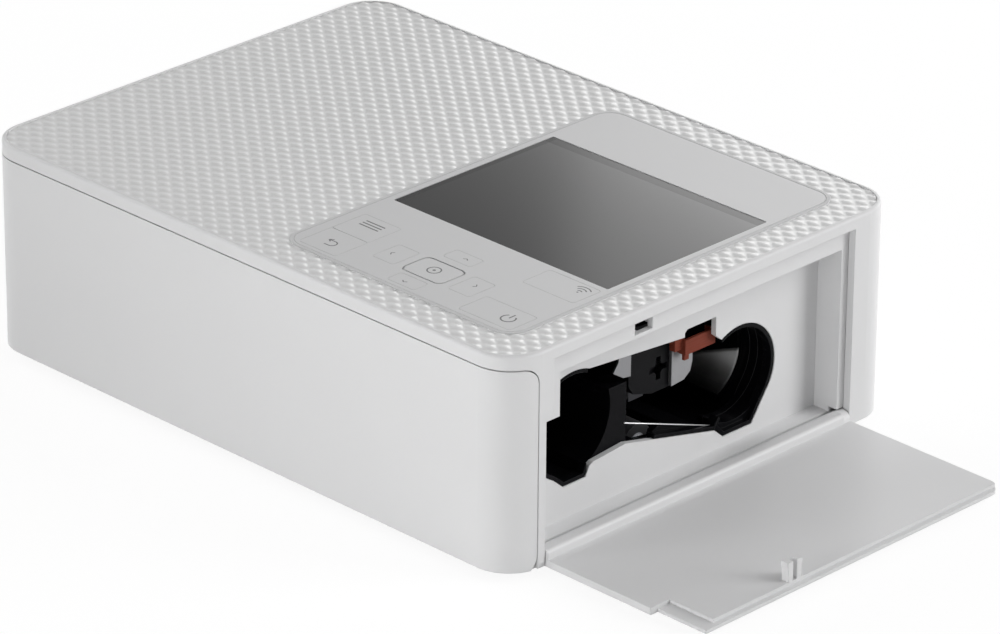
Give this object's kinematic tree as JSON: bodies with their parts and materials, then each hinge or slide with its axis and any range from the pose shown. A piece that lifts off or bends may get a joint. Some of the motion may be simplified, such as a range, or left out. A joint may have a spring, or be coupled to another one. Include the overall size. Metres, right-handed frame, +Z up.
{
  "type": "compact photo printer",
  "caption": "Compact dye-sublimation photo printer with a textured lid, a screen and flush keys, a hinged front cover and an open side cover over the ribbon cassette bay.",
  "frame": {"origin": "centre of the body's footprint, on the table under the feet", "axes": "+X to the right seen from the front, +Y from front to back, +Z up"},
  "size_m": [0.2309, 0.133, 0.0576],
  "materials": {
    "white_plastic": "satin",
    "panel_grey": "satin",
    "screen_black": "polished",
    "black_plastic": "satin",
    "lever_orange": "satin",
    "gear_white": "satin",
    "steel": "brushed",
    "aluminium": "satin",
    "brass": "satin",
    "rubber": "matte",
    "board_green": "satin"
  },
  "bodies": {
    "case": {"upper_case": "white_plastic", "base_plate": "white_plastic", "front_frame": "white_plastic", "ink_frame": "white_plastic", "control_panel": "panel_grey", "screen_window": "screen_black", "lcd_module": "black_plastic", "key_board": "board_green", "bay_liner": "black_plastic", "cassette_spring": "steel", "cover_switch": "black_plastic", "head_shaft": "steel", "feed_motor": "steel", "ribbon_motor": "steel", "chassis_left": "steel", "chassis_right": "steel", "motor_bracket": "steel", "cassette_bay": "black_plastic", "paper_guide": "black_plastic", "main_board": "board_green", "power_board": "board_green", "io_board": "board_green", "card_reader": "steel", "usb_port": "steel", "dc_jack": "black_plastic", "feet": "rubber", "case_screws": "steel"},
    "front_cover": {"front_cover": "white_plastic"},
    "ink_cover": {"ink_cover": "white_plastic"},
    "eject_lever": {"eject_lever": "lever_orange"},
    "thermal_head": {"head_carrier": "black_plastic", "print_head": "aluminium", "head_plate": "steel"},
    "ok_key": {"ok_key": "panel_grey"},
    "up_key": {"up_key": "panel_grey"},
    "down_key": {"down_key": "panel_grey"},
    "left_key": {"left_key": "panel_grey"},
    "right_key": {"right_key": "panel_grey"},
    "menu_key": {"menu_key": "panel_grey"},
    "back_key": {"back_key": "panel_grey"},
    "wireless_key": {"wireless_key": "panel_grey"},
    "power_key": {"power_key": "panel_grey"},
    "platen_roller": {"platen_roller": "rubber"},
    "capstan_roller": {"capstan_roller": "steel"},
    "pinch_roller": {"pinch_roller": "steel"},
    "pickup_roller": {"pickup_roller": "rubber"},
    "idler_gear": {"idler_gear": "gear_white"},
    "motor_pinion": {"motor_pinion": "brass"},
    "takeup_spindle": {"takeup_spindle": "gear_white"},
    "supply_spindle": {"supply_spindle": "gear_white"},
    "ribbon_pinion": {"ribbon_pinion": "brass"}
  },
  "joints": [
    {"name": "front_cover_hinge", "type": "hinge", "parent": "case", "child": "front_cover", "pos_m": [0, -0.0623, 0.0058], "axis": [1, 0, 0], "range_deg": [0, 90]},
    {"name": "ink_cover_hinge", "type": "hinge", "parent": "case", "child": "ink_cover", "pos_m": [0.0893, -0.00185, 0.0035], "axis": [0, -1, 0], "range_deg": [0, 90]},
    {"name": "eject_lever_slide", "type": "slide", "parent": "case", "child": "eject_lever", "axis": [0, 0, 1], "range_m": [0, 0.0022], "stiffness_N_per_m": 200, "springref_m": -0.001},
    {"name": "thermal_head_hinge", "type": "hinge", "parent": "case", "child": "thermal_head", "pos_m": [0.0181, 0.04, 0.042], "axis": [1, 0, 0], "range_deg": [0, 9], "stiffness_Nm_per_rad": 0.2, "springref_deg": -22.92},
    {"name": "ok_key_press", "type": "slide", "parent": "case", "child": "ok_key", "axis": [0, 0, -1], "range_m": [0, 0.0003], "stiffness_N_per_m": 800, "springref_m": -0.0004},
    {"name": "up_key_press", "type": "slide", "parent": "case", "child": "up_key", "axis": [0, 0, -1], "range_m": [0, 0.0003], "stiffness_N_per_m": 800, "springref_m": -0.0004},
    {"name": "down_key_press", "type": "slide", "parent": "case", "child": "down_key", "axis": [0, 0, -1], "range_m": [0, 0.0003], "stiffness_N_per_m": 800, "springref_m": -0.0004},
    {"name": "left_key_press", "type": "slide", "parent": "case", "child": "left_key", "axis": [0, 0, -1], "range_m": [0, 0.0003], "stiffness_N_per_m": 800, "springref_m": -0.0004},
    {"name": "right_key_press", "type": "slide", "parent": "case", "child": "right_key", "axis": [0, 0, -1], "range_m": [0, 0.0003], "stiffness_N_per_m": 800, "springref_m": -0.0004},
    {"name": "menu_key_press", "type": "slide", "parent": "case", "child": "menu_key", "axis": [0, 0, -1], "range_m": [0, 0.0003], "stiffness_N_per_m": 800, "springref_m": -0.0004},
    {"name": "back_key_press", "type": "slide", "parent": "case", "child": "back_key", "axis": [0, 0, -1], "range_m": [0, 0.0003], "stiffness_N_per_m": 800, "springref_m": -0.0004},
    {"name": "wireless_key_press", "type": "slide", "parent": "case", "child": "wireless_key", "axis": [0, 0, -1], "range_m": [0, 0.0003], "stiffness_N_per_m": 800, "springref_m": -0.0004},
    {"name": "power_key_press", "type": "slide", "parent": "case", "child": "power_key", "axis": [0, 0, -1], "range_m": [0, 0.0003], "stiffness_N_per_m": 800, "springref_m": -0.0004},
    {"name": "platen_roller_spin", "type": "hinge", "parent": "case", "child": "platen_roller", "pos_m": [0.0181, -0.004, 0.0095], "axis": [1, 0, 0], "continuous": true},
    {"name": "capstan_roller_spin", "type": "hinge", "parent": "case", "child": "capstan_roller", "pos_m": [0.0181, -0.017, 0.007], "axis": [1, 0, 0], "continuous": true},
    {"name": "pinch_roller_spin", "type": "hinge", "parent": "case", "child": "pinch_roller", "pos_m": [0.0181, -0.017, 0.0127], "axis": [1, 0, 0], "continuous": true},
    {"name": "pickup_roller_spin", "type": "hinge", "parent": "case", "child": "pickup_roller", "pos_m": [0.0181, -0.02382, 0.0088], "axis": [1, 0, 0], "continuous": true},
    {"name": "idler_gear_spin", "type": "hinge", "parent": "case", "child": "idler_gear", "pos_m": [-0.0464, -0.01452, 0.01731], "axis": [1, 0, 0], "continuous": true},
    {"name": "motor_pinion_spin", "type": "hinge", "parent": "case", "child": "motor_pinion", "pos_m": [-0.0444, -0.00428, 0.02005], "axis": [1, 0, 0], "continuous": true},
    {"name": "takeup_spindle_spin", "type": "hinge", "parent": "case", "child": "takeup_spindle", "pos_m": [-0.0444, 0.0211, 0.0228], "axis": [1, 0, 0], "continuous": true},
    {"name": "supply_spindle_spin", "type": "hinge", "parent": "case", "child": "supply_spindle", "pos_m": [-0.0436, -0.036, 0.0286], "axis": [1, 0, 0], "continuous": true},
    {"name": "ribbon_pinion_spin", "type": "hinge", "parent": "case", "child": "ribbon_pinion", "pos_m": [-0.0444, 0.03003, 0.03238], "axis": [1, 0, 0], "continuous": true}
  ],
  "couplings": [
    {"joint": "idler_gear_spin", "follows": "platen_roller_spin", "ratio": -0.73333},
    {"joint": "capstan_roller_spin", "follows": "platen_roller_spin", "ratio": 1.8333},
    {"joint": "pickup_roller_spin", "follows": "platen_roller_spin", "ratio": 1.1},
    {"joint": "motor_pinion_spin", "follows": "platen_roller_spin", "ratio": 1.8333},
    {"joint": "ribbon_pinion_spin", "follows": "takeup_spindle_spin", "ratio": -3.3333}
  ]
}
